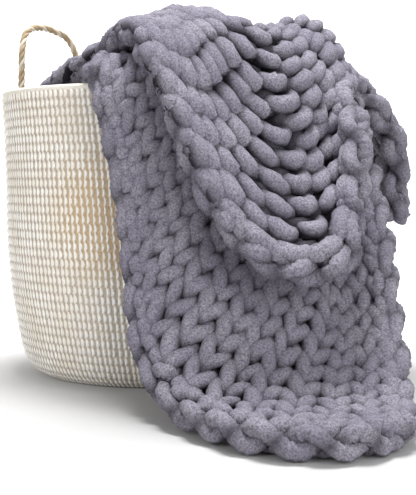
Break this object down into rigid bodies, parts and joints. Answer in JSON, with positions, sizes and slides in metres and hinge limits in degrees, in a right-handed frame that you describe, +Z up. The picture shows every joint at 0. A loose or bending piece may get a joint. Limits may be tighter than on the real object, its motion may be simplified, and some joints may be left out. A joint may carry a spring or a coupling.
{
  "type": "chunky knit blanket draped over a basket",
  "caption": "Thick lavender-grey knitted blanket draped over the rim of a round coiled rope basket and down to the floor, its far end a swag over the front.",
  "frame": {"origin": "centre of the basket's flat base, on the floor", "axes": "+Z up; -Y towards the front, where the blanket comes down to the floor; +X to the right seen from the front"},
  "size_m": [0.5961, 0.7304, 0.5313],
  "materials": {
    "yarn": "plush chenille pile",
    "basket_wall": "cotton twine wound over seagrass coils",
    "handle_rope": "twisted seagrass and cotton rope"
  },
  "bodies": {
    "root": {"blanket": "yarn", "basket": "basket_wall", "handle_left": "handle_rope"}
  },
  "joints": []
}
